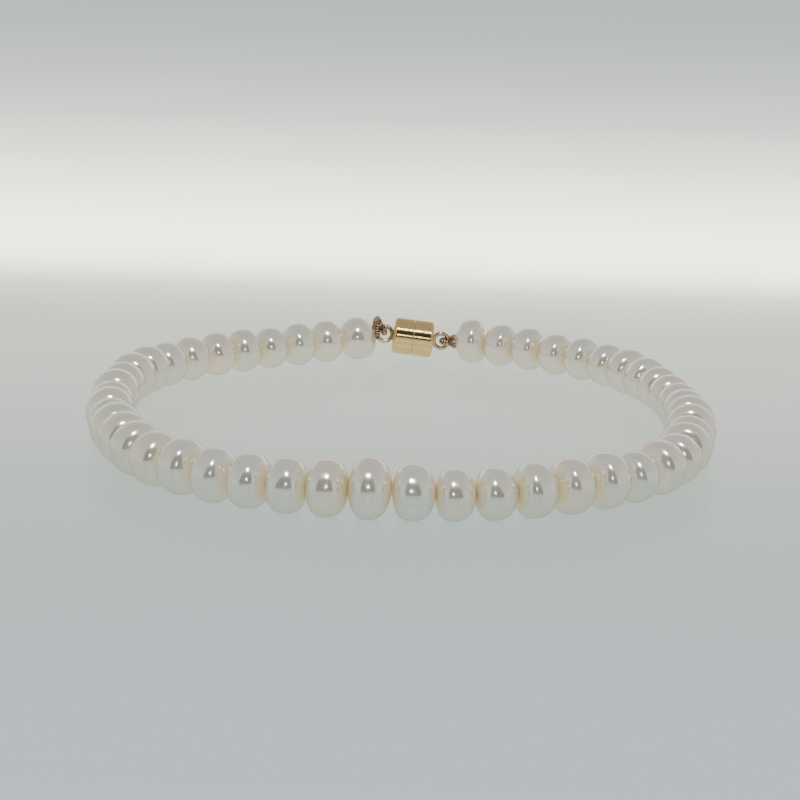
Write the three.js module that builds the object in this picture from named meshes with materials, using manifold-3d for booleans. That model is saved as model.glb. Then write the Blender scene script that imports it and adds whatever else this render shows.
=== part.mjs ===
// Pearl bracelet in millimetres, +Z up: fifty button pearls on one thread, closed by a gold barrel clasp.
// It lies as a closed loop on the plane z = 0, with the clasp at the back, towards +Y.
import * as THREE from "three";
import { mergeVertices } from "three/addons/utils/BufferGeometryUtils.js";
import Module from "manifold-3d";

// Pearls: girth is across the drilled hole, thickness along it, on a pearl whose shares are 1.
const pearlGirth = 5;
const pearlThickness = 3.63;
const pearlGap = 0.06;
const threadDiameter = 0.5;
const threadSides = 6;

// The dome side of a pearl is the deeper one.
const pearlDomeShare = 0.56;
const pearlSides = 12;
const pearlStepsPerSide = 4;

// Sorts of pearl: girth and thickness are shares of pearlGirth and pearlThickness. The section is a
// superellipse: squareness 2 is an ellipse, and more is squarer.
const pearlSorts = {
  thick: { girth: 1.02, thickness: 1.2, squareness: 2.15 },
  large: { girth: 1.12, thickness: 1.03, squareness: 2.3 },
  broad: { girth: 1.04, thickness: 0.985, squareness: 2.5 },
  full: { girth: 1.02, thickness: 1.025, squareness: 2.45 },
  round: { girth: 0.985, thickness: 1.05, squareness: 2.2 },
  plain: { girth: 0.99, thickness: 1, squareness: 2.4 },
  flat: { girth: 0.995, thickness: 0.965, squareness: 2.6 },
  small: { girth: 0.95, thickness: 1.005, squareness: 2.35 },
  slim: { girth: 0.94, thickness: 0.945, squareness: 2.5 },
};

// The pearls in the order they are strung, from the clasp's left end round the front to its right end.
const stringLeft = [
  "thick round plain small plain plain round round broad broad plain full slim",
  "flat small broad broad broad full broad flat flat flat broad large",
];
const stringRight = [
  "full slim small flat full broad small full plain broad plain broad broad",
  "flat small small small plain full round round small flat plain broad",
];

// Clasp: two halves of a barrel, each with a wire ring soldered to its outer end.
const barrelDiameter = 4.4;
const barrelLength = 4.85;
const barrelEdge = 0.42;
const seamGap = 0.06;
const seamEdge = 0.05;
const barrelTip = 6; // degrees that the right end lies lower
const barrelLift = 0.1; // from the surface to the barrel's lowest edge
const ringHole = 1.3;
const ringWire = 0.5;
const ringSolder = 0.15; // depth that the ring is let into the barrel's end
const barrelSides = 32;
const ringSides = 20;
const ringWireSides = 6;

// Gimp: the coil of gold wire over the thread, which goes round the ring's wire and back.
const gimpDiameter = 0.78;
const gimpClearance = 0.12;
const gimpTurn = [-80, -40, 0, 40, 80]; // degrees round the ring's wire
const gimpSides = 8;
const gimpSteps = 26;

// Each end of the clasp: reach is from the barrel to the end pearl, tilt lifts that pearl's face, roll turns
// the ring about the barrel's axis, and hitch is how far up the ring the gimp goes round it. At the pearl the
// gimp's two strands run straight for lead, lie strands apart, and are leaned by split from one above the
// other. Arch lifts the rear one beside the ring.
const ends = {
  left: { way: 1, reach: 2.4, tilt: 15, roll: 20, hitch: 60, lead: 0.28, strands: 1.35, split: 45, arch: 1.2 },
  right: { way: -1, reach: 3, tilt: -8, roll: 0, hitch: 0, lead: 0.15, strands: 1.05, split: 15, arch: 0.2 },
};

// The loop as it lies, seen from above, as shares of half its breadth. It starts at the clasp's middle and
// goes round by the left, the front and the right.
const loopShape = [
  [0.048, 1.111],
  [-0.174, 1.065],
  [-0.4, 0.937],
  [-0.709, 0.714],
  [-0.881, 0.516],
  [-0.976, 0.283],
  [-0.993, -0.094],
  [-0.918, -0.463],
  [-0.743, -0.79],
  [-0.441, -0.99],
  [-0.017, -1.066],
  [0.405, -1.005],
  [0.729, -0.816],
  [0.886, -0.617],
  [0.983, -0.261],
  [0.997, 0.109],
  [0.927, 0.475],
  [0.806, 0.704],
  [0.622, 0.891],
  [0.291, 1.066],
];
const loopDivisions = 4000; // stretches that the loop's length is measured over
const weldDistance = 1e-4; // corners nearer than this are one

const wasm = await Module();
wasm.setup();

const pearlMaterial = new THREE.MeshStandardMaterial({ color: 0xece8dd, roughness: 0.18, metalness: 0 });
const goldMaterial = new THREE.MeshStandardMaterial({ color: 0xc2a468, roughness: 0.22, metalness: 1 });
const gimpMaterial = new THREE.MeshStandardMaterial({ color: 0xa47c4e, roughness: 0.4, metalness: 1 });

const up = new THREE.Vector3(0, 0, 1);

function solidOf(geometry) {
  const plain = geometry.clone();
  plain.deleteAttribute("normal");
  plain.deleteAttribute("uv");
  const merged = mergeVertices(plain, weldDistance);
  return new wasm.Manifold(
    new wasm.Mesh({
      numProp: 3,
      vertProperties: merged.attributes.position.array,
      triVerts: new Uint32Array(merged.index.array),
    }),
  );
}

function meshOf(name, solid, material) {
  const { vertProperties, triVerts } = solid.getMesh();
  const geometry = new THREE.BufferGeometry()
    .setAttribute("position", new THREE.BufferAttribute(vertProperties, 3))
    .setIndex(new THREE.BufferAttribute(triVerts, 1));
  geometry.computeVertexNormals();
  const mesh = new THREE.Mesh(geometry, material);
  mesh.name = name;
  return mesh;
}

// A tube of the given diameter along a curve.
function tubeAlong(curve, diameter, sides, steps) {
  const section = new THREE.Shape();
  for (let side = 0; side < sides; side++) {
    const angle = (2 * Math.PI * side) / sides;
    const x = (diameter / 2) * Math.cos(angle);
    const y = (diameter / 2) * Math.sin(angle);
    if (side === 0) section.moveTo(x, y);
    else section.lineTo(x, y);
  }
  section.closePath();
  return new THREE.ExtrudeGeometry(section, { steps, extrudePath: curve, curveSegments: 1 });
}

function named(rows) {
  return rows.join(" ").split(" ");
}

// Pearls in stringing order, each with its sizes and its place along the loop from the clasp's middle.
const leftNames = named(stringLeft);
const pearls = [...leftNames, ...named(stringRight)].map((sort) => ({
  radius: (pearlGirth * pearlSorts[sort].girth) / 2,
  thickness: pearlThickness * pearlSorts[sort].thickness,
  squareness: pearlSorts[sort].squareness,
  tilt: 0,
}));
const [firstPearl, lastPearl] = [pearls[0], pearls[pearls.length - 1]];
firstPearl.tilt = ends.left.tilt;
lastPearl.tilt = -ends.right.tilt;

let along = barrelLength / 2 + ends.left.reach;
for (const pearl of pearls) {
  pearl.along = along + pearl.thickness / 2;
  along += pearl.thickness + pearlGap;
}
const loopLength = along - pearlGap + ends.right.reach + barrelLength / 2;

// The loop's curve, brought to the length that the pearls and the clasp need.
function loopCurve(halfBreadth) {
  const points = loopShape.map(([x, y]) => new THREE.Vector3(x * halfBreadth, y * halfBreadth, 0));
  const curve = new THREE.CatmullRomCurve3(points, true, "centripetal");
  curve.arcLengthDivisions = loopDivisions;
  return curve;
}
const route = loopCurve(loopLength / loopCurve(1).getLength());

// Right-handed axes at a place along the loop: side points outwards, ahead follows the loop.
function frameAt(distance) {
  const share = distance / loopLength;
  const ahead = route.getTangentAt(share).setZ(0).normalize();
  return { place: route.getPointAt(share), ahead, side: ahead.clone().cross(up) };
}

// Each pearl rests on the surface, with its hole along the loop, but for the end pearls' tilt.
for (const pearl of pearls) {
  const { place, ahead, side } = frameAt(pearl.along);
  pearl.side = side;
  pearl.ahead = ahead.applyAxisAngle(side, -THREE.MathUtils.degToRad(pearl.tilt));
  pearl.centre = place.setZ(pearl.radius);
}

// Half of a pearl's outline, from the flat side's middle over the rim to the dome's middle.
function pearlSection({ radius, thickness, squareness }) {
  const power = 2 / squareness;
  const points = [];
  for (let step = -pearlStepsPerSide; step <= pearlStepsPerSide; step++) {
    const angle = (Math.PI / 2) * (step / pearlStepsPerSide);
    const depth = thickness * (step < 0 ? 1 - pearlDomeShare : pearlDomeShare);
    const middle = thickness * (0.5 - pearlDomeShare);
    const pole = Math.abs(step) === pearlStepsPerSide;
    points.push(
      new THREE.Vector2(
        pole ? 0 : radius * Math.cos(angle) ** power,
        middle + depth * Math.sign(step) * Math.abs(Math.sin(angle)) ** power,
      ),
    );
  }
  return points;
}

function pearlSolid(pearl) {
  const { side, ahead, centre } = pearl;
  const stand = new THREE.Matrix4().makeBasis(side, ahead, side.clone().cross(ahead)).setPosition(centre);
  return solidOf(new THREE.LatheGeometry(pearlSection(pearl), pearlSides).applyMatrix4(stand));
}

function pearlString(name, strung) {
  const beads = strung.map(pearlSolid);
  const hole = new THREE.CatmullRomCurve3(strung.map((pearl) => pearl.centre));
  const thread = solidOf(tubeAlong(hole, threadDiameter, threadSides, strung.length - 1));
  return meshOf(name, beads.reduce((whole, bead) => whole.add(bead), thread), pearlMaterial);
}

// The clasp's axes: claspAhead leads along the barrel to the left end, claspUp upwards across it.
const claspFrame = frameAt(0);
const tip = THREE.MathUtils.degToRad(barrelTip);
const claspHeight =
  barrelLift + (barrelDiameter / 2) * Math.cos(tip) + (barrelLength / 2) * Math.sin(tip);
const claspAhead = claspFrame.ahead.clone().multiplyScalar(Math.cos(tip)).addScaledVector(up, Math.sin(tip));
const claspUp = claspFrame.side.clone().cross(claspAhead);
const claspCentre = claspFrame.place.clone().setZ(claspHeight);

const ringRadius = (ringHole + ringWire) / 2;
const ringFromMiddle = barrelLength / 2 + ringRadius + ringWire / 2 - ringSolder;

// Axes of one end of the clasp: out leads from the barrel to the pearl, flat and across lie in the ring's
// plane and through its hole.
function claspEnd({ way, roll }) {
  const out = claspAhead.clone().multiplyScalar(way);
  const turn = new THREE.Quaternion().setFromAxisAngle(claspAhead, THREE.MathUtils.degToRad(roll));
  const flat = claspUp.clone().applyQuaternion(turn);
  const across = out.clone().cross(flat);
  const centre = claspCentre.clone().addScaledVector(out, ringFromMiddle);
  return { out, flat, across, centre };
}

function claspHalf(name, end) {
  const { out, flat, across, centre } = claspEnd(end);
  const radius = barrelDiameter / 2;
  const inner = seamGap / 2;
  const outer = barrelLength / 2;
  const roundedBy = barrelEdge * (1 - Math.SQRT1_2);
  const section = [
    [0, inner],
    [radius - seamEdge, inner],
    [radius, inner + seamEdge],
    [radius, outer - barrelEdge],
    [radius - roundedBy, outer - roundedBy],
    [radius - barrelEdge, outer],
    [0, outer],
  ].map(([r, y]) => new THREE.Vector2(r, y));
  const barrelStand = new THREE.Matrix4().makeBasis(across, out, flat).setPosition(claspCentre);
  const barrel = solidOf(new THREE.LatheGeometry(section, barrelSides).applyMatrix4(barrelStand));
  const ringStand = new THREE.Matrix4().makeBasis(out, flat, across).setPosition(centre);
  const ringShape = new THREE.TorusGeometry(ringRadius, ringWire / 2, ringWireSides, ringSides);
  return meshOf(name, barrel.add(solidOf(ringShape.applyMatrix4(ringStand))), goldMaterial);
}

// The gimp starts at the end pearl, passes in front of the ring, goes through it, and comes back behind.
function gimpLoop(name, end, pearl) {
  const { out, flat, across, centre } = claspEnd(end);
  const rearwards = across.clone().multiplyScalar(end.way);
  const spoke = (degrees, length) => {
    const angle = THREE.MathUtils.degToRad(degrees);
    const place = centre.clone().addScaledVector(out, length * Math.cos(angle));
    return place.addScaledVector(flat, length * Math.sin(angle));
  };
  const bend = (ringWire + gimpDiameter) / 2 + gimpClearance;
  const roundWire = (degrees) => {
    const angle = THREE.MathUtils.degToRad(degrees);
    const depth = ringRadius - bend * Math.cos(angle);
    return spoke(end.hitch, depth).addScaledVector(rearwards, bend * Math.sin(angle));
  };
  const besideRing = (sign, lift) =>
    spoke(end.hitch / 2, ringRadius + ringWire / 2)
      .addScaledVector(rearwards, sign * bend)
      .addScaledVector(up, lift);
  const split = THREE.MathUtils.degToRad(end.split);
  const apart = up.clone().multiplyScalar(Math.cos(split)).addScaledVector(pearl.side, Math.sin(split));
  const atPearl = (sign, lead) =>
    pearl.centre
      .clone()
      .addScaledVector(pearl.ahead, -end.way * (pearl.thickness / 2 + gimpClearance + lead))
      .addScaledVector(apart, (sign * end.strands) / 2);
  const path = new THREE.CatmullRomCurve3(
    [
      atPearl(-1, 0),
      atPearl(-1, end.lead),
      besideRing(-1, 0),
      ...gimpTurn.map(roundWire),
      besideRing(1, end.arch),
      atPearl(1, end.lead),
      atPearl(1, 0),
    ],
    false,
    "centripetal",
  );
  return meshOf(name, solidOf(tubeAlong(path, gimpDiameter, gimpSides, gimpSteps)), gimpMaterial);
}

const loop = new THREE.Group();
const half = leftNames.length;
loop.add(
  pearlString("pearl_string_left", pearls.slice(0, half)),
  pearlString("pearl_string_right", pearls.slice(half)),
  claspHalf("clasp_half_left", ends.left),
  claspHalf("clasp_half_right", ends.right),
  gimpLoop("gimp_loop_left", ends.left, firstPearl),
  gimpLoop("gimp_loop_right", ends.right, lastPearl),
);

// The origin is on the surface, under the middle of the bracelet's box.
const middle = new THREE.Box3().setFromObject(loop, true).getCenter(new THREE.Vector3());
loop.position.set(-middle.x, -middle.y, 0);

const bracelet = new THREE.Group();
bracelet.add(loop);

export default bracelet;
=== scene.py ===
# Pearl bracelet in metres, +Z up. It lies as a closed loop on the plane z = 0, with its clasp towards +Y.
import math
import random
from bisect import bisect
from itertools import accumulate, pairwise

import bpy
from mathutils import Matrix, Vector


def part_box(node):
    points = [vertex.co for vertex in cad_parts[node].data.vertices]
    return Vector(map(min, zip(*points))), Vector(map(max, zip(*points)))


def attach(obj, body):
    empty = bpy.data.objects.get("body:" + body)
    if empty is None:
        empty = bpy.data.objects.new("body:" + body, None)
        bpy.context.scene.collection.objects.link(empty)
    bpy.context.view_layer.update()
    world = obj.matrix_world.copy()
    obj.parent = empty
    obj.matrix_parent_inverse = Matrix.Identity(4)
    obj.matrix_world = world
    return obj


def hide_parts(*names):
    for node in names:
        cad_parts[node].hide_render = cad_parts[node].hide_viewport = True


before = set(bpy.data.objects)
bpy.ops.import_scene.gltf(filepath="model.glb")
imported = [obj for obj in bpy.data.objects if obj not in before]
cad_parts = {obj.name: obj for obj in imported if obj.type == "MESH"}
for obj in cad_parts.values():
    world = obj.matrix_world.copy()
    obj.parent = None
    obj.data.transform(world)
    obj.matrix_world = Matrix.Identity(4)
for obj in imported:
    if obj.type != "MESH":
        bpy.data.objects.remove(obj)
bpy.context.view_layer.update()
bpy.ops.object.select_all(action="DESELECT")

# The loop: the bracelet is laid down as one round of fifty pearls and a clasp. Its route has a few chosen
# points, seen from above, as shares of half its breadth, from the clasp's middle by the left and the front.
mm = 0.001
touch = 0.001 * mm
up = Vector((0, 0, 1))
route_steps = 200
loop_shape = [
    (0.048, 1.111),
    (-0.174, 1.065),
    (-0.4, 0.937),
    (-0.709, 0.714),
    (-0.881, 0.516),
    (-0.976, 0.283),
    (-0.993, -0.094),
    (-0.918, -0.463),
    (-0.743, -0.79),
    (-0.441, -0.99),
    (-0.017, -1.066),
    (0.405, -1.005),
    (0.729, -0.816),
    (0.886, -0.617),
    (0.983, -0.261),
    (0.997, 0.109),
    (0.927, 0.475),
    (0.806, 0.704),
    (0.622, 0.891),
    (0.291, 1.066),
]
pearl_girth = 5 * mm
pearl_thickness = 3.63 * mm
pearl_gap = 0.06 * mm
barrel_length = 4.85 * mm
pearl_sorts = {
    "thick": (1.02, 1.2, 2.15),
    "large": (1.12, 1.03, 2.3),
    "broad": (1.04, 0.985, 2.5),
    "full": (1.02, 1.025, 2.45),
    "round": (0.985, 1.05, 2.2),
    "plain": (0.99, 1, 2.4),
    "flat": (0.995, 0.965, 2.6),
    "small": (0.95, 1.005, 2.35),
    "slim": (0.94, 0.945, 2.5),
}
left_string = (
    "thick round plain small plain plain round round broad broad plain full slim "
    "flat small broad broad broad full broad flat flat flat broad large"
).split()
right_string = (
    "full slim small flat full broad small full plain broad plain broad broad "
    "flat small small small plain full round round small flat plain broad"
).split()
end_names = ("way", "reach", "tilt", "roll", "hitch", "lead", "strands", "split", "arch")
ends = {
    "left": dict(zip(end_names, (1, 2.4, 15, 20, 60, 0.28, 1.35, 45, 1.2))),
    "right": dict(zip(end_names, (-1, 3, -8, 0, 0, 0.15, 1.05, 15, 0.2))),
}


def bowed(before, start, end, after, share):
    """A place between start and end, on the smooth curve that passes through all four points."""
    gap, span, rest = ((b - a).length ** 0.5 for a, b in pairwise((before, start, end, after)))
    leave = ((start - before) / gap - (end - before) / (gap + span)) * span + (end - start)
    arrive = (end - start) + ((after - end) / rest - (after - start) / (span + rest)) * span
    bend = (end - start) * 3 - leave * 2 - arrive
    turn = (start - end) * 2 + leave + arrive
    return start + leave * share + bend * share**2 + turn * share**3


def smooth_path(points, closed, steps):
    if closed:
        chain = [points[-1], *points, *points[:2]]
    else:
        chain = [points[0] * 2 - points[1], *points, points[-1] * 2 - points[-2]]
    pieces = range(len(chain) - 3)
    path = [bowed(*chain[i : i + 4], step / steps) for i in pieces for step in range(steps)]
    return [*path, chain[-2]]


def distances_along(path):
    return [0, *accumulate((b - a).length for a, b in pairwise(path))]


pearls = []
along = barrel_length / 2 + ends["left"]["reach"] * mm
for sort in left_string + right_string:
    girth, thickness, squareness = pearl_sorts[sort]
    length = pearl_thickness * thickness
    middle = along + length / 2
    radius = pearl_girth * girth / 2
    pearls.append({"sort": sort, "radius": radius, "thickness": length, "along": middle, "tilt": 0})
    along += length + pearl_gap
loop_length = along - pearl_gap + ends["right"]["reach"] * mm + barrel_length / 2
pearls[0]["tilt"] = ends["left"]["tilt"]
pearls[-1]["tilt"] = -ends["right"]["tilt"]

shape = [Vector((x, y, 0)) for x, y in loop_shape]
unit_length = distances_along(smooth_path(shape, closed=True, steps=route_steps))[-1]
halves = [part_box("clasp_half_left"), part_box("clasp_half_right")]
clasp_middle = sum((low + high for low, high in halves), Vector()) / 4
clasp_middle.z = 0
half_breadth = loop_length / unit_length
shift = clasp_middle - shape[0] * half_breadth
route = smooth_path([point * half_breadth + shift for point in shape], closed=True, steps=route_steps)
route_distances = distances_along(route)


def frame_at(distance):
    """Place, way ahead and outward side at a distance along the loop."""
    index = min(max(bisect(route_distances, distance), 1), len(route) - 1)
    start, end = route[index - 1], route[index]
    share = (distance - route_distances[index - 1]) / (end - start).length
    before, after = route[max(index - 2, 0)], route[min(index + 1, len(route) - 1)]
    ahead = (after - before).normalized()
    return start.lerp(end, share), ahead, ahead.cross(up)


for pearl in pearls:
    place, ahead, side = frame_at(pearl["along"])
    pearl["side"] = side
    pearl["ahead"] = Matrix.Rotation(-math.radians(pearl["tilt"]), 3, side) @ ahead
    pearl["centre"] = place + up * pearl["radius"]

# The pearls: button pearls of freshwater nacre, a little flattened along the hole that is drilled through
# them. They come in nine sorts of slightly different girth and thickness, none of them quite round. Their
# skin is white to cream with patches of green and rose. Warm light and shade are painted in towards the hole,
# where the pearls touch, and a faint painted glow lies over the skin, stronger there.
pearl_dome_share = 0.56
pearl_spin_steps = 48
pearl_outline_steps = 16
hole_radius = 0.38 * mm
hole_edge = 0.07 * mm
pearl_growth = 0.06 * mm
pearl_growth_span = 3.2 * mm
pearl_ripple = 0.007 * mm
pearl_ripple_span = 0.9 * mm
# Painted warm light and shade where the pearls touch: how far it reaches in from the rim, and how strong.
face_edge_share = 0.94
face_fade_share = 0.5
bare_face_light_share = 0.25
dome_contact_light = (0.25, 1)
flat_contact_light = (0.1, 0.9)
nacre_white = (0.82, 0.82, 0.74)
nacre_cream = (0.885, 0.795, 0.685)
nacre_green = (0.76, 0.82, 0.71)
nacre_rose = (0.90, 0.785, 0.695)
speck_brown = (0.30, 0.24, 0.15)
# Painted warm light and shade on the faces where the pearls touch, from the rim in towards the hole.
painted_contact_shades = [
    (0, (0.83, 0.81, 0.71)),
    (0.3, (0.84, 0.81, 0.68)),
    (0.65, (0.83, 0.785, 0.62)),
    (1, (0.80, 0.73, 0.54)),
]
# Painted glow: the whole skin glows faintly, and more on the faces where the pearls touch, with no lamp
# there.
painted_skin_glow = (0.02, 0.018, 0.014)
painted_contact_glow = (0.12, 0.105, 0.065)
green_patches_per_metre = 330
rose_patches_per_metre = 210
specks_per_metre = 1300
haze_per_metre = 900
haze_depth = 0.01 * mm
speck_depth = 0.05 * mm


def pearl_outline(radius, thickness, squareness):
    """Half of a drilled pearl's section, from the flat face over the rim to the dome and back by the hole."""
    power = 2 / squareness
    turn = math.acos(((hole_radius + hole_edge) / radius) ** (1 / power))
    middle = thickness * (0.5 - pearl_dome_share)
    outline = []
    for step in range(-pearl_outline_steps, pearl_outline_steps + 1):
        angle = turn * step / pearl_outline_steps
        depth = thickness * (1 - pearl_dome_share if step < 0 else pearl_dome_share)
        height = math.copysign(abs(math.sin(angle)) ** power, step)
        outline.append(Vector((radius * math.cos(angle) ** power, middle + depth * height, 0)))
    first, last = outline[0], outline[-1]
    mouth = Vector((hole_radius, last.y - hole_edge, 0))
    foot = Vector((hole_radius, first.y + hole_edge, 0))
    return [*outline, mouth, mouth.lerp(foot, 0.5), foot, first]


def spun(name, outline, steps, axis):
    """A closed solid of revolution: the outline is drawn vertex by vertex and spun round the axis."""
    bpy.ops.mesh.primitive_plane_add(size=mm)
    piece = bpy.context.object
    piece.name = name
    bpy.ops.object.mode_set(mode="EDIT")
    bpy.ops.mesh.merge(type="CENTER")
    bpy.ops.transform.translate(value=outline[0])
    for start, end in pairwise(outline):
        bpy.ops.mesh.extrude_vertices_move(TRANSFORM_OT_translate={"value": end - start})
    bpy.ops.mesh.select_all(action="SELECT")
    bpy.ops.mesh.spin(steps=steps, angle=math.tau, center=(0, 0, 0), axis=axis)
    bpy.ops.mesh.select_all(action="SELECT")
    bpy.ops.mesh.remove_doubles(threshold=touch)
    bpy.ops.mesh.normals_make_consistent(inside=False)
    bpy.ops.object.mode_set(mode="OBJECT")
    bpy.ops.object.shade_smooth()
    bpy.ops.object.select_all(action="DESELECT")
    return piece


def noise_texture(name, span):
    texture = bpy.data.textures.new(name, "CLOUDS")
    texture.noise_scale = span
    texture.noise_depth = 1
    return texture


def swollen(piece, texture, strength):
    """Presses a soft unevenness into a piece's surface."""
    modifier = piece.modifiers.new("unevenness", "DISPLACE")
    modifier.texture = texture
    modifier.texture_coords = "GLOBAL"
    modifier.strength = strength
    modifier.mid_level = 0.5
    bpy.context.view_layer.objects.active = piece
    bpy.ops.object.modifier_apply(modifier=modifier.name)


def nodes_of(name):
    """A new material, its shader, its nodes and its links."""
    material = bpy.data.materials.new(name)
    material.use_nodes = True
    tree = material.node_tree
    return material, tree.nodes["Principled BSDF"], tree.nodes, tree.links


def noise(nodes, links, coordinates, per_metre, detail):
    node = nodes.new("ShaderNodeTexNoise")
    node.inputs["Scale"].default_value = per_metre
    node.inputs["Detail"].default_value = detail
    links.new(coordinates, node.inputs["Vector"])
    return node.outputs["Fac"]


def spread(nodes, links, value, low, high, to_low=0.0, to_high=1.0):
    """Stretches a value smoothly from one range to another."""
    node = nodes.new("ShaderNodeMapRange")
    node.interpolation_type = "SMOOTHSTEP"
    settings = {"From Min": low, "From Max": high, "To Min": to_low, "To Max": to_high}
    for name, setting in settings.items():
        node.inputs[name].default_value = setting
    links.new(value, node.inputs["Value"])
    return node.outputs["Result"]


def blend(nodes, links, share, first, second):
    """Mixes two colours; each is a socket or a plain colour, and share is a socket."""
    node = nodes.new("ShaderNodeMix")
    node.data_type = "RGBA"
    links.new(share, node.inputs["Factor"])
    for socket, colour in (("A", first), ("B", second)):
        target = next(s for s in node.inputs if s.name == socket and s.type == "RGBA")
        if isinstance(colour, tuple):
            target.default_value = (*colour, 1)
        else:
            links.new(colour, target)
    return next(s for s in node.outputs if s.type == "RGBA")


def shaded(nodes, links, value, shades):
    """A colour that runs through a list of shades as the value goes from the first place to the last."""
    ramp = nodes.new("ShaderNodeValToRGB")
    first, last = shades[0][0], shades[-1][0]
    for _ in shades[2:]:
        ramp.color_ramp.elements.new(0.5)
    for element, (place, colour) in zip(ramp.color_ramp.elements, shades):
        element.position = (place - first) / (last - first)
        element.color = (*colour, 1)
    links.new(value, ramp.inputs["Fac"])
    return ramp.outputs["Color"]


def raised(nodes, links, height, distance, strength, under=None):
    """A normal tilted by a fine relief, on top of the relief under it."""
    node = nodes.new("ShaderNodeBump")
    node.inputs["Distance"].default_value = distance
    node.inputs["Strength"].default_value = strength
    links.new(height, node.inputs["Height"])
    if under:
        links.new(under, node.inputs["Normal"])
    return node.outputs["Normal"]


def nacre():
    material, shader, nodes, links = nodes_of("nacre")
    place = nodes.new("ShaderNodeTexCoord").outputs["Object"]
    # The attribute holds each pearl's own tint, and the strength and spread of the painted light at its
    # faces.
    tint_and_painted_contact_light = nodes.new("ShaderNodeAttribute")
    tint_and_painted_contact_light.attribute_name = "tint_and_painted_contact_light"
    parts = nodes.new("ShaderNodeSeparateColor")
    links.new(tint_and_painted_contact_light.outputs["Color"], parts.inputs["Color"])
    own_tint, contact_light_strength, depth = parts.outputs
    body = blend(nodes, links, own_tint, nacre_white, nacre_cream)
    green_patches = noise(nodes, links, place, green_patches_per_metre, detail=1.5)
    body = blend(nodes, links, spread(nodes, links, green_patches, 0.50, 0.66, 0, 0.6), body, nacre_green)
    rose_patches = noise(nodes, links, place, rose_patches_per_metre, detail=1.5)
    body = blend(nodes, links, spread(nodes, links, rose_patches, 0.48, 0.66, 0, 0.8), body, nacre_rose)
    # Painted warm light and shade on the faces where the pearls touch, as strong as each pearl's attribute
    # says.
    painted_contact_colours = shaded(nodes, links, depth, painted_contact_shades)
    contact_light_share = nodes.new("ShaderNodeMath")
    contact_light_share.operation = "MULTIPLY"
    links.new(contact_light_strength, contact_light_share.inputs[0])
    links.new(spread(nodes, links, depth, 0, 0.6), contact_light_share.inputs[1])
    body = blend(nodes, links, contact_light_share.outputs["Value"], body, painted_contact_colours)
    specks = spread(nodes, links, noise(nodes, links, place, specks_per_metre, detail=1), 0.84, 0.87)
    body = blend(nodes, links, specks, body, speck_brown)
    links.new(body, shader.inputs["Base Color"])
    # Painted glow over the skin, stronger on the faces where the pearls touch.
    glow = blend(nodes, links, spread(nodes, links, depth, 0, 1), painted_skin_glow, painted_contact_glow)
    links.new(glow, shader.inputs["Emission Color"])
    shader.inputs["Emission Strength"].default_value = 1
    haze = noise(nodes, links, place, haze_per_metre, detail=3)
    links.new(spread(nodes, links, haze, 0.3, 0.7, 0.14, 0.2), shader.inputs["Roughness"])
    skin = raised(nodes, links, haze, haze_depth, 0.2)
    links.new(raised(nodes, links, specks, -speck_depth, 0.8, skin), shader.inputs["Normal"])
    shader.inputs["Metallic"].default_value = 0.65
    shader.inputs["IOR"].default_value = 1.6
    shader.inputs["Subsurface Weight"].default_value = 0.5
    shader.inputs["Subsurface Radius"].default_value = (1.0, 0.8, 0.55)
    shader.inputs["Subsurface Scale"].default_value = 1.1 * mm
    shader.inputs["Specular Tint"].default_value = (0.66, 0.65, 0.6, 1)
    shader.inputs["Coat Weight"].default_value = 0.28
    shader.inputs["Coat Roughness"].default_value = 0.06
    shader.inputs["Coat IOR"].default_value = 1.5
    return material


pearl_material = nacre()
growth_texture = noise_texture("pearl growth", pearl_growth_span)
ripple_texture = noise_texture("pearl ripple", pearl_ripple_span)
pearl_patterns = {}
for sort, (girth, thickness, squareness) in pearl_sorts.items():
    outline = pearl_outline(pearl_girth * girth / 2, pearl_thickness * thickness + pearl_gap, squareness)
    pearl_patterns[sort] = spun(f"pattern_{sort}", outline, pearl_spin_steps, (0, 1, 0))

chance = random.Random(7)
for number, pearl in enumerate(pearls, 1):
    piece = bpy.data.objects.new(f"pearl_{number:02d}", pearl_patterns[pearl["sort"]].data.copy())
    bpy.context.scene.collection.objects.link(piece)
    tint = chance.random()
    # How strong the painted light and shade are on each pearl's two faces; an end pearl's bare face gets
    # less.
    contact_light_strengths = {True: chance.uniform(*dome_contact_light), False: chance.uniform(*flat_contact_light)}
    bare_face = {1: False, len(pearls): True}.get(number)
    tint_and_painted_contact_light = piece.data.color_attributes.new("tint_and_painted_contact_light", "FLOAT_COLOR", "POINT")
    for vertex, tint_and_light_point in zip(piece.data.vertices, tint_and_painted_contact_light.data):
        share = math.hypot(vertex.co.x, vertex.co.z) / pearl["radius"]
        dome = vertex.co.y > 0
        depth = max(0.0, min(1.0, (face_edge_share - share) / face_fade_share))
        if dome == bare_face:
            depth *= bare_face_light_share
        tint_and_light_point.color = (tint, contact_light_strengths[dome], depth, 1)
    side, ahead = pearl["side"], pearl["ahead"]
    turn = Matrix((side, ahead, side.cross(ahead))).transposed().to_4x4()
    roll = Matrix.Rotation(chance.uniform(0, math.tau), 4, "Y")
    piece.data.transform(Matrix.Translation(pearl["centre"]) @ turn @ roll)
    swollen(piece, growth_texture, pearl_growth)
    swollen(piece, ripple_texture, pearl_ripple)
    lowest = min(vertex.co.z for vertex in piece.data.vertices)
    piece.data.transform(Matrix.Translation((0, 0, -lowest)))
    piece.data.materials.clear()
    piece.data.materials.append(pearl_material)
    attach(piece, "root")
    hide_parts("pearl_string_left" if number <= len(left_string) else "pearl_string_right")
for pattern in pearl_patterns.values():
    bpy.data.objects.remove(pattern)

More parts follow.
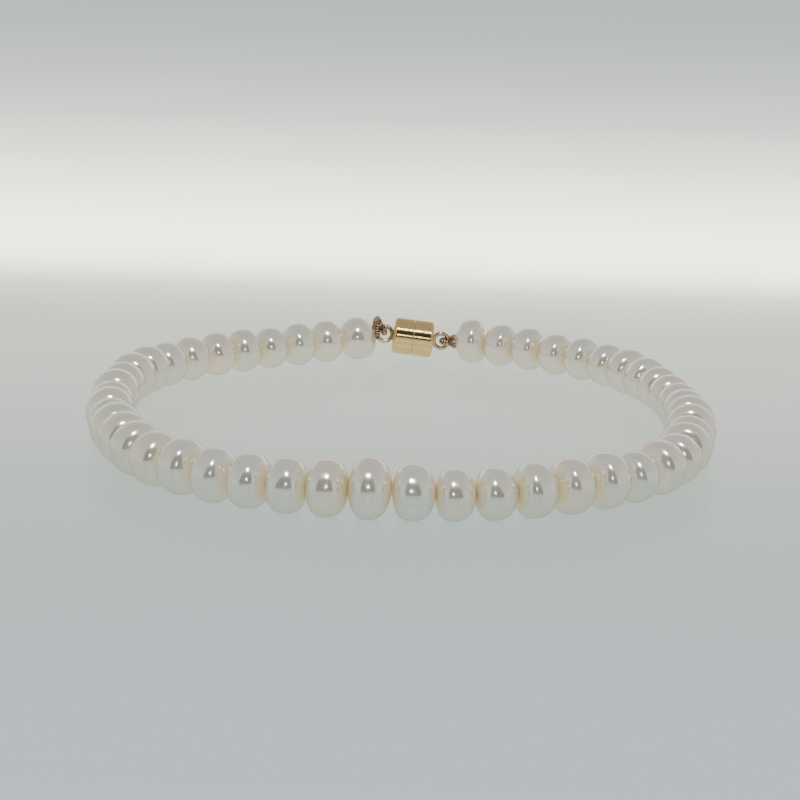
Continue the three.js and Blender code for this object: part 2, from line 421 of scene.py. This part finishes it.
# The thread: doubled white silk that runs through every pearl's hole, from one end of the clasp to the
# other. It shows only as a glint between two pearls and where it leaves the end pearls.
thread_diameter = 0.5 * mm
thread_sides = 10
thread_twist_pitch = 1.1 * mm
thread_twist_steps = 10
thread_path_steps = 8
silk_shadow = (0.66, 0.63, 0.55)
silk_white = (0.86, 0.84, 0.78)
fibres_per_metre = 6000
fibre_depth = 0.02 * mm


def guide_curve(name, path):
    curve = bpy.data.curves.new(name, "CURVE")
    curve.dimensions = "3D"
    spline = curve.splines.new("POLY")
    spline.points.add(len(path) - 1)
    for point, place in zip(spline.points, path):
        point.co = (*place, 1)
    guide = bpy.data.objects.new(name, curve)
    bpy.context.scene.collection.objects.link(guide)
    return guide


def wound(name, path, wire_radius, coil_radius, pitch, sides, steps):
    """A wire wound along a path: a ring of vertices screwed straight up, then bent to the path."""
    length = distances_along(path)[-1]
    bpy.ops.mesh.primitive_circle_add(
        vertices=sides, radius=wire_radius, location=(coil_radius, 0, 0), rotation=(math.pi / 2, 0, 0)
    )
    piece = bpy.context.object
    piece.name = name
    bpy.ops.object.transform_apply(location=True, rotation=True, scale=True)
    turns = max(1, round(length / pitch))
    screw = piece.modifiers.new("winding", "SCREW")
    screw.screw_offset = length / turns
    screw.iterations = turns
    screw.steps = steps
    screw.render_steps = steps
    bpy.ops.object.modifier_apply(modifier=screw.name)
    bpy.ops.object.mode_set(mode="EDIT")
    bpy.ops.mesh.select_all(action="SELECT")
    bpy.ops.mesh.fill_holes(sides=sides)
    bpy.ops.mesh.select_all(action="SELECT")
    bpy.ops.mesh.normals_make_consistent(inside=False)
    bpy.ops.object.mode_set(mode="OBJECT")
    guide = guide_curve(name + "_guide", path)
    bend = piece.modifiers.new("route", "CURVE")
    bend.object = guide
    bend.deform_axis = "POS_Z"
    bpy.ops.object.modifier_apply(modifier=bend.name)
    bpy.data.objects.remove(guide)
    bpy.ops.object.shade_smooth()
    bpy.ops.object.select_all(action="DESELECT")
    return piece


def silk():
    material, shader, nodes, links = nodes_of("silk")
    place = nodes.new("ShaderNodeTexCoord").outputs["Object"]
    fibres = noise(nodes, links, place, fibres_per_metre, detail=3)
    links.new(blend(nodes, links, fibres, silk_shadow, silk_white), shader.inputs["Base Color"])
    links.new(raised(nodes, links, fibres, fibre_depth, 0.6), shader.inputs["Normal"])
    shader.inputs["Roughness"].default_value = 0.55
    shader.inputs["Sheen Weight"].default_value = 0.3
    return material


silk_material = silk()
for side_name, strung in (("left", pearls[: len(left_string)]), ("right", pearls[len(left_string) :])):
    path = smooth_path([pearl["centre"] for pearl in strung], closed=False, steps=thread_path_steps)
    strand = thread_diameter / 4
    name = f"thread_{side_name}"
    thread = wound(name, path, strand, strand, thread_twist_pitch, thread_sides, thread_twist_steps)
    thread.data.materials.append(silk_material)
    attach(thread, "root")
    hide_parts(f"pearl_string_{side_name}")

# The clasp: a barrel of polished yellow gold, finely turned on a lathe. Its two halves meet at a fine seam,
# where magnets inside hold them together. A ring of round, rosier gold wire is soldered to each outer end.
barrel_diameter = 4.4 * mm
barrel_edge = 0.42 * mm
barrel_tip = 6
barrel_lift = 0.1 * mm
seam_gap = 0.06 * mm
seam_edge = 0.05 * mm
seam_depth = 0.25 * mm
seam_core_share = 0.45
edge_rim = 0.03 * mm
barrel_sides = 96
barrel_edge_steps = 7
seam_edge_steps = 3
smooth_angle = math.radians(35)
ring_hole = 1.3 * mm
ring_wire = 0.5 * mm
ring_solder = 0.15 * mm
ring_steps = 56
ring_sides = 18
gold_deep = (0.76, 0.52, 0.22)
gold_pale = (0.82, 0.59, 0.28)
grooves_per_metre = 8000
groove_depth = 0.012 * mm
rosy_deep = (0.55, 0.40, 0.27)
rosy_pale = (0.70, 0.54, 0.40)

tip = math.radians(barrel_tip)
place, ahead, side = frame_at(0)
clasp_ahead = ahead * math.cos(tip) + up * math.sin(tip)
clasp_up = side.cross(clasp_ahead)
clasp_height = barrel_lift + barrel_diameter / 2 * math.cos(tip) + barrel_length / 2 * math.sin(tip)
clasp_centre = place + up * clasp_height
ring_radius = (ring_hole + ring_wire) / 2
ring_from_middle = barrel_length / 2 + ring_radius + ring_wire / 2 - ring_solder


def clasp_end(end):
    """Ways out, flat and across at one end of the clasp, and its ring's middle."""
    out = clasp_ahead * end["way"]
    flat = Matrix.Rotation(math.radians(end["roll"]), 3, clasp_ahead) @ clasp_up
    return out, flat, out.cross(flat), clasp_centre + out * ring_from_middle


def film_group():
    """The thin uneven film on worn gold: it shifts the colour and the gloss in patches."""
    group = bpy.data.node_groups.new("gold film", "ShaderNodeTree")
    for name, kind in (
        ("Place", "NodeSocketVector"),
        ("Patches per metre", "NodeSocketFloat"),
        ("Colour from", "NodeSocketFloat"),
        ("Colour to", "NodeSocketFloat"),
        ("First colour", "NodeSocketColor"),
        ("Second colour", "NodeSocketColor"),
        ("First roughness", "NodeSocketFloat"),
        ("Second roughness", "NodeSocketFloat"),
    ):
        group.interface.new_socket(name=name, in_out="INPUT", socket_type=kind)
    group.interface.new_socket(name="Colour", in_out="OUTPUT", socket_type="NodeSocketColor")
    group.interface.new_socket(name="Roughness", in_out="OUTPUT", socket_type="NodeSocketFloat")
    nodes, links = group.nodes, group.links
    given = nodes.new("NodeGroupInput").outputs
    result = nodes.new("NodeGroupOutput").inputs
    patches = nodes.new("ShaderNodeTexNoise")
    patches.inputs["Detail"].default_value = 3
    links.new(given["Place"], patches.inputs["Vector"])
    links.new(given["Patches per metre"], patches.inputs["Scale"])
    share = nodes.new("ShaderNodeMapRange")
    links.new(patches.outputs["Fac"], share.inputs["Value"])
    links.new(given["Colour from"], share.inputs["From Min"])
    links.new(given["Colour to"], share.inputs["From Max"])
    colour = blend(nodes, links, share.outputs["Result"], given["First colour"], given["Second colour"])
    links.new(colour, result["Colour"])
    gloss = nodes.new("ShaderNodeMapRange")
    gloss.interpolation_type = "SMOOTHSTEP"
    gloss.inputs["From Min"].default_value = 0.3
    gloss.inputs["From Max"].default_value = 0.7
    links.new(patches.outputs["Fac"], gloss.inputs["Value"])
    links.new(given["First roughness"], gloss.inputs["To Min"])
    links.new(given["Second roughness"], gloss.inputs["To Max"])
    links.new(gloss.outputs["Result"], result["Roughness"])
    return group


gold_film = film_group()


def filmed_gold(name, per_metre, colour_range, colours, roughnesses):
    """A material of bare gold under the film, with its nodes, so that relief can be added."""
    material, shader, nodes, links = nodes_of(name)
    place = nodes.new("ShaderNodeTexCoord").outputs["Object"]
    film = nodes.new("ShaderNodeGroup")
    film.node_tree = gold_film
    links.new(place, film.inputs["Place"])
    film.inputs["Patches per metre"].default_value = per_metre
    film.inputs["Colour from"].default_value, film.inputs["Colour to"].default_value = colour_range
    for order, colour, roughness in zip(("First", "Second"), colours, roughnesses):
        film.inputs[f"{order} colour"].default_value = (*colour, 1)
        film.inputs[f"{order} roughness"].default_value = roughness
    links.new(film.outputs["Colour"], shader.inputs["Base Color"])
    links.new(film.outputs["Roughness"], shader.inputs["Roughness"])
    shader.inputs["Metallic"].default_value = 1
    return material, shader, nodes, links, place


def polished_gold():
    material, shader, nodes, links, place = filmed_gold(
        "polished gold", 700, (0, 1), (gold_deep, gold_pale), (0.07, 0.13)
    )
    along_axis = nodes.new("ShaderNodeVectorMath")
    along_axis.operation = "DOT_PRODUCT"
    along_axis.inputs[1].default_value = clasp_ahead
    links.new(place, along_axis.inputs[0])
    turned = nodes.new("ShaderNodeTexNoise")
    turned.noise_dimensions = "1D"
    turned.inputs["Scale"].default_value = grooves_per_metre
    turned.inputs["Detail"].default_value = 3
    links.new(along_axis.outputs["Value"], turned.inputs["W"])
    links.new(raised(nodes, links, turned.outputs["Fac"], groove_depth, 0.7), shader.inputs["Normal"])
    return material


gold_material = polished_gold()
ring_material = filmed_gold("ring gold", 1100, (0, 1), (rosy_deep, rosy_pale), (0.16, 0.26))[0]
for end_name, end in ends.items():
    out, flat, across, ring_centre = clasp_end(end)
    radius, inner, outer = barrel_diameter / 2, seam_gap / 2, barrel_length / 2
    bpy.ops.mesh.primitive_cylinder_add(
        vertices=barrel_sides, radius=radius, depth=outer - inner, location=(0, 0, (inner + outer) / 2)
    )
    half = bpy.context.object
    half.name = f"clasp_{end_name}"
    bpy.ops.object.transform_apply(location=True)
    edges = ((outer, barrel_edge, barrel_edge_steps), (inner, seam_edge, seam_edge_steps))
    for level, width, segments in edges:
        bpy.ops.object.mode_set(mode="EDIT")
        bpy.ops.mesh.select_all(action="DESELECT")
        bpy.ops.object.mode_set(mode="OBJECT")
        for edge in half.data.edges:
            tops = [half.data.vertices[index].co for index in edge.vertices]
            edge.select = all(
                abs(co.z - level) < touch and abs(math.hypot(co.x, co.y) - radius) < touch for co in tops
            )
        bpy.ops.object.mode_set(mode="EDIT")
        bpy.ops.mesh.select_mode(type="EDGE")
        bpy.ops.mesh.bevel(offset=width, segments=segments, profile=0.5, affect="EDGES")
        bpy.ops.mesh.select_mode(type="VERT")
    for level in (inner + seam_edge + edge_rim, outer - barrel_edge - edge_rim):
        bpy.ops.mesh.select_all(action="SELECT")
        bpy.ops.mesh.bisect(plane_co=(0, 0, level), plane_no=(0, 0, 1), threshold=touch)
    bpy.ops.mesh.select_all(action="DESELECT")
    bpy.ops.object.mode_set(mode="OBJECT")
    for polygon in half.data.polygons:
        polygon.select = abs(polygon.normal.z) > 0.99 and len(polygon.vertices) > 4
    bpy.ops.object.mode_set(mode="EDIT")
    bpy.ops.mesh.select_mode(type="FACE")
    bpy.ops.mesh.inset(thickness=edge_rim, use_individual=True)
    bpy.ops.object.mode_set(mode="OBJECT")
    for polygon in half.data.polygons:
        polygon.select = polygon.select and polygon.normal.z < 0
    bpy.ops.object.mode_set(mode="EDIT")
    bpy.ops.mesh.inset(thickness=seam_depth, use_individual=True)
    bpy.ops.mesh.extrude_region_move(TRANSFORM_OT_translate={"value": (0, 0, -seam_gap * seam_core_share)})
    bpy.ops.mesh.select_mode(type="VERT")
    bpy.ops.object.mode_set(mode="OBJECT")
    stand = Matrix((across, flat * -1, out)).transposed()
    if stand.determinant() < 0:
        stand = Matrix((across * -1, flat * -1, out)).transposed()
    half.data.transform(Matrix.Translation(clasp_centre) @ stand.to_4x4())
    bpy.ops.object.select_all(action="DESELECT")

    bpy.ops.mesh.primitive_torus_add(
        major_segments=ring_steps,
        minor_segments=ring_sides,
        major_radius=ring_radius,
        minor_radius=ring_wire / 2,
    )
    ring = bpy.context.object
    ring_stand = Matrix((out, flat, out.cross(flat))).transposed().to_4x4()
    ring.data.transform(Matrix.Translation(ring_centre) @ ring_stand)
    half.data.materials.append(gold_material)
    ring.data.materials.append(ring_material)
    union = half.modifiers.new("solder", "BOOLEAN")
    union.operation = "UNION"
    union.solver = "EXACT"
    union.material_mode = "TRANSFER"
    union.object = ring
    bpy.context.view_layer.objects.active = half
    bpy.ops.object.modifier_apply(modifier=union.name)
    bpy.data.objects.remove(ring)
    half.select_set(True)
    bpy.context.view_layer.objects.active = half
    bpy.ops.object.shade_smooth_by_angle(angle=smooth_angle)
    bpy.ops.object.select_all(action="DESELECT")
    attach(half, "root")
    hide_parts(f"clasp_half_{end_name}")

# The gimp: a tube of finely coiled gold wire that covers the thread where it goes round each ring and back
# to the end pearl, so that the ring doesn't cut it.
gimp_diameter = 0.78 * mm
gimp_clearance = 0.12 * mm
gimp_wire = 0.24 * mm
gimp_pitch = 0.29 * mm
gimp_turn = (-80, -40, 0, 40, 80)
gimp_wire_sides = 8
gimp_wire_steps = 14
gimp_path_steps = 16
core_share = 0.6
core_twist_share = 0.7
core_sides = 8
core_steps = 12
coil_shadow = (0.25, 0.165, 0.11)
coil_bright = (0.62, 0.45, 0.32)


def gimp_path(end, pearl):
    """From the end pearl in front of the ring, through it, and back behind it."""
    out, flat, across, centre = clasp_end(end)
    rearwards = across * end["way"]

    def spoke(degrees, length):
        angle = math.radians(degrees)
        return centre + out * length * math.cos(angle) + flat * length * math.sin(angle)

    bend = (ring_wire + gimp_diameter) / 2 + gimp_clearance

    def round_wire(degrees):
        angle = math.radians(degrees)
        return spoke(end["hitch"], ring_radius - bend * math.cos(angle)) + rearwards * bend * math.sin(angle)

    def beside_ring(sign, lift):
        return spoke(end["hitch"] / 2, ring_radius + ring_wire / 2) + rearwards * sign * bend + up * lift * mm

    split = math.radians(end["split"])
    apart = up * math.cos(split) + pearl["side"] * math.sin(split)

    def at_pearl(sign, lead):
        gap = pearl["thickness"] / 2 + gimp_clearance + lead
        return pearl["centre"] - pearl["ahead"] * end["way"] * gap + apart * sign * end["strands"] * mm / 2

    points = [
        at_pearl(-1, 0),
        at_pearl(-1, end["lead"] * mm),
        beside_ring(-1, 0),
        *map(round_wire, gimp_turn),
        beside_ring(1, end["arch"]),
        at_pearl(1, end["lead"] * mm),
        at_pearl(1, 0),
    ]
    return smooth_path(points, closed=False, steps=gimp_path_steps)


coil_gold = filmed_gold("coiled gold wire", 1400, (0.41, 0.63), (coil_shadow, coil_bright), (0.42, 0.22))[0]
for end_name, end_pearl in (("left", pearls[0]), ("right", pearls[-1])):
    path = gimp_path(ends[end_name], end_pearl)
    coil_radius = (gimp_diameter - gimp_wire) / 2
    coil = wound(
        f"gimp_{end_name}", path, gimp_wire / 2, coil_radius, gimp_pitch, gimp_wire_sides, gimp_wire_steps
    )
    core_radius = (gimp_diameter / 2 - gimp_wire) * core_share
    core_twist = core_radius * core_twist_share
    core = wound(
        f"gimp_core_{end_name}", path, core_radius, core_twist, thread_twist_pitch, core_sides, core_steps
    )
    for piece, material in ((coil, coil_gold), (core, silk_material)):
        piece.data.materials.append(material)
        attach(piece, "root")
        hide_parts(f"gimp_loop_{end_name}")

# The floor: a sheet of glossy white acrylic over a lit table. It is pale grey near the camera, brightest some
# way behind the bracelet, and grey again further off.
floor_reach = 4.0
floor_grey = (0.08, 0.08, 0.08)
floor_shades = [
    (-0.14, (1.133, 1.183, 1.184)),
    (-0.085, (0.594, 0.692, 0.778)),
    (-0.052, (0.556, 0.682, 0.684)),
    (-0.026, (0.586, 0.702, 0.64)),
    (-0.009, (0.694, 0.77, 0.678)),
    (0.011, (0.798, 0.864, 0.778)),
    (0.039, (0.874, 0.975, 0.835)),
    (0.047, (0.911, 0.965, 0.811)),
    (0.0615, (1.118, 1.158, 0.984)),
    (0.076, (1.46, 1.594, 1.26)),
    (0.084, (2.29, 2.448, 1.885)),
    (0.093, (3.272, 3.548, 2.68)),
    (0.107, (4.052, 4.414, 3.324)),
    (0.133, (3.996, 4.353, 3.279)),
    (0.171, (3.166, 3.423, 2.586)),
    (0.239, (1.946, 2.201, 1.837)),
    (0.336, (1.281, 1.4, 1.248)),
    (0.49, (0.921, 1.012, 0.915)),
    (0.77, (0.682, 0.811, 0.79)),
    (1.31, (0.58, 0.719, 0.704)),
]
bpy.ops.mesh.primitive_plane_add(size=2 * floor_reach)
floor = bpy.context.object
floor.name = "floor"
material, shader, nodes, links = nodes_of("glossy acrylic")
place = nodes.new("ShaderNodeTexCoord").outputs["Object"]
parts = nodes.new("ShaderNodeSeparateXYZ")
links.new(place, parts.inputs["Vector"])
distance_share = nodes.new("ShaderNodeMapRange")
distance_share.inputs["From Min"].default_value = floor_shades[0][0]
distance_share.inputs["From Max"].default_value = floor_shades[-1][0]
links.new(parts.outputs["Y"], distance_share.inputs["Value"])
glow = shaded(nodes, links, distance_share.outputs["Result"], floor_shades)
links.new(glow, shader.inputs["Emission Color"])
shader.inputs["Emission Strength"].default_value = 1
shader.inputs["Base Color"].default_value = (*floor_grey, 1)
shader.inputs["Specular IOR Level"].default_value = 0
shader.inputs["Coat Weight"].default_value = 0.4
shader.inputs["Coat IOR"].default_value = 1.4
shader.inputs["Coat Roughness"].default_value = 0.22
floor.data.materials.append(material)

# The light: a soft white tent all round, greyer overhead. It is open in front where the camera looks in, with
# one lamp above the opening, a small one at the camera, and a bright panel low down at the back.
tent_level = (0.15, (0.82, 0.82, 0.79))
tent_overhead = (0.95, (0.50, 0.51, 0.50))
opening_corners = [(-0.3, -0.38, 0), (0.3, -0.38, 0), (-0.16, -0.3, 0.33), (0.16, -0.3, 0.33)]
opening_black = (0.03, 0.03, 0.03)
world = bpy.data.worlds.new("tent")
bpy.context.scene.world = world
world.use_nodes = True
nodes, links = world.node_tree.nodes, world.node_tree.links
direction = nodes.new("ShaderNodeTexCoord").outputs["Generated"]
parts = nodes.new("ShaderNodeSeparateXYZ")
links.new(direction, parts.inputs["Vector"])
ramp = nodes.new("ShaderNodeValToRGB")
for element, (position, colour) in zip(ramp.color_ramp.elements, (tent_level, tent_overhead)):
    element.position = position
    element.color = (*colour, 1)
links.new(parts.outputs["Z"], ramp.inputs["Fac"])
links.new(ramp.outputs["Color"], nodes["Background"].inputs["Color"])
nodes["Background"].inputs["Strength"].default_value = 1

bpy.ops.mesh.primitive_plane_add(size=1)
card = bpy.context.object
card.name = "tent_opening"
for vertex, corner in zip(card.data.vertices, opening_corners):
    vertex.co = corner
material, shader, nodes, links = nodes_of("dark opening")
shader.inputs["Base Color"].default_value = (*opening_black, 1)
shader.inputs["Roughness"].default_value = 1
card.data.materials.append(material)
card.visible_camera = False


def lamp(name, place, size, power):
    """A lamp of one size or of two, aimed at the middle of the bracelet."""
    light = bpy.data.lights.new(name, "AREA")
    light.shape = "RECTANGLE" if isinstance(size, tuple) else "DISK"
    if isinstance(size, tuple):
        light.size, light.size_y = size
    else:
        light.size = size
    light.energy = power
    holder = bpy.data.objects.new(name, light)
    bpy.context.scene.collection.objects.link(holder)
    holder.visible_camera = False
    aim = (-place).to_track_quat("-Z", "Y").to_matrix().to_4x4()
    holder.matrix_world = Matrix.Translation(place) @ aim


lamp("lamp_above", place=Vector((0, -0.223, 0.365)), size=0.07, power=0.65)
lamp("lamp_at_camera", place=Vector((0, -0.3, 0.1)), size=0.045, power=0.055)
lamp("panel_behind", place=Vector((0, 0.5, 0.155)), size=(1.0, 0.21), power=0.45)

# The camera stands low in front of the bracelet, at the photograph's height and distance. It looks a little
# down on it, and is turned a little about its own axis.
camera_place = Vector((0.05, -183.3, 48.75)) * mm
camera_pitch = 14.08
camera_roll = 1.66
sensor_width = 36
focal_share = 1826 / 800
camera = bpy.data.cameras.new("camera")
camera.sensor_width = sensor_width
camera.lens = sensor_width * focal_share
camera.clip_start = 0.01
holder = bpy.data.objects.new("camera", camera)
bpy.context.scene.collection.objects.link(holder)
holder.matrix_world = (
    Matrix.Translation(camera_place)
    @ Matrix.Rotation(math.radians(90 - camera_pitch), 4, "X")
    @ Matrix.Rotation(math.radians(camera_roll), 4, "Z")
)
bpy.context.scene.camera = holder
